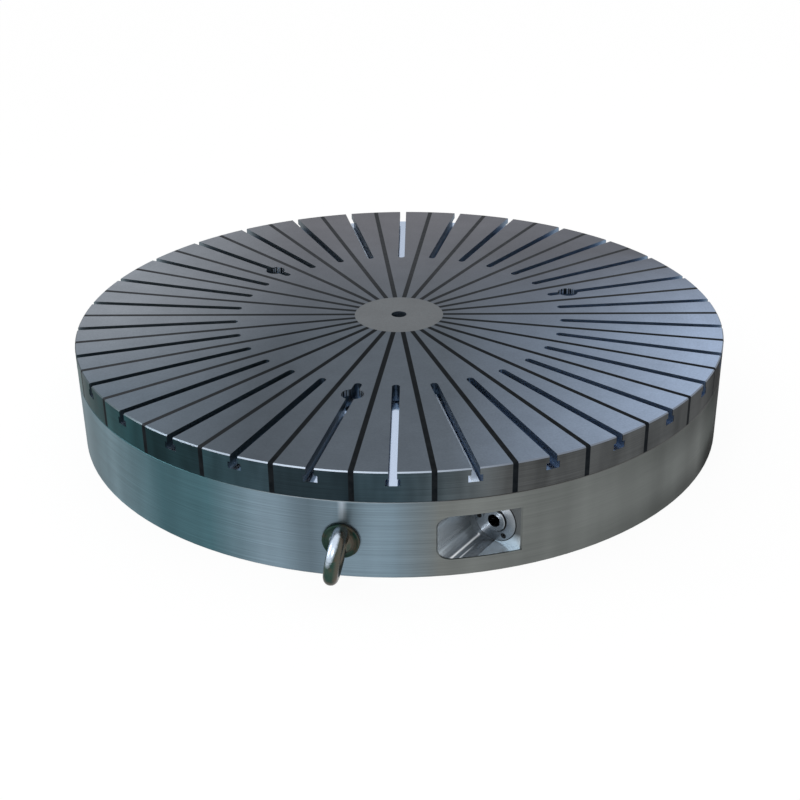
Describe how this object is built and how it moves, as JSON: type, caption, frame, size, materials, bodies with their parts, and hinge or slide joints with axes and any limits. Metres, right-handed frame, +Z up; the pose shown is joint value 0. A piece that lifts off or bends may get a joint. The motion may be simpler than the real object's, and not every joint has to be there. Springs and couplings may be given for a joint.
{
  "type": "magnetic chuck",
  "caption": "Round permanent-magnet chuck with radial steel poles, brass strips, radial T-slots, lifting eyes and a key pocket in its rim.",
  "frame": {"origin": "centre of the base's bottom face, on the chuck's axis", "axes": "+Z up along the chuck's axis, out of the work face; -Y towards the side with the key pocket"},
  "size_m": [1.25, 1.4242, 0.197],
  "materials": {
    "cast_steel": "turned",
    "pole_steel": "ground",
    "strip_brass": "ground, darkened",
    "seal_rubber": "matt",
    "bright_steel": "machined",
    "black_steel": "blackened",
    "forged_steel": "oxidised, worn",
    "bronze": "machined",
    "carrier_aluminium": "machined",
    "magnet": "ground"
  },
  "bodies": {
    "chuck": {"base_body": "cast_steel", "north_poles": "pole_steel", "south_poles": "pole_steel", "separator_strips": "strip_brass", "hub_disc": "pole_steel", "plate_seal": "seal_rubber", "plate_dowels": "bright_steel", "rim_screws": "black_steel", "boss_screws": "black_steel", "hub_screws": "black_steel", "eye_bolts": "forged_steel", "thrust_ring": "bronze", "front_bush": "bright_steel", "flange_screws": "black_steel", "shaft_seal": "seal_rubber", "thrust_washer": "bronze", "rear_bush": "bronze"},
    "rotor": {"rotor_carrier": "carrier_aluminium", "rotor_bush": "bronze", "rotor_inner_band": "bright_steel", "rotor_outer_band": "bright_steel", "rotor_poles": "pole_steel", "rotor_magnets": "magnet", "rotor_screws": "black_steel"},
    "screw": {"drive_screw": "bright_steel"},
    "nut": {"drive_nut": "bronze", "pin_sleeve": "bright_steel"}
  },
  "joints": [
    {"name": "rotor_turn", "type": "hinge", "parent": "chuck", "child": "rotor", "pos_m": [0, 0, 0.12], "axis": [0, 0, 1], "range_deg": [0, 6]},
    {"name": "nut_slide", "type": "slide", "parent": "chuck", "child": "nut", "axis": [0.5534, 0.8329, 0], "range_m": [0, 0.04697]},
    {"name": "screw_turn", "type": "hinge", "parent": "chuck", "child": "screw", "pos_m": [0.16231, -0.56526, 0.072], "axis": [0.5534, 0.8329, 0], "range_deg": [0, 1408.82]}
  ],
  "couplings": [
    {"joint": "nut_slide", "follows": "rotor_turn", "m_per_rad": 0.44841},
    {"joint": "screw_turn", "follows": "rotor_turn", "ratio": 234.79}
  ]
}
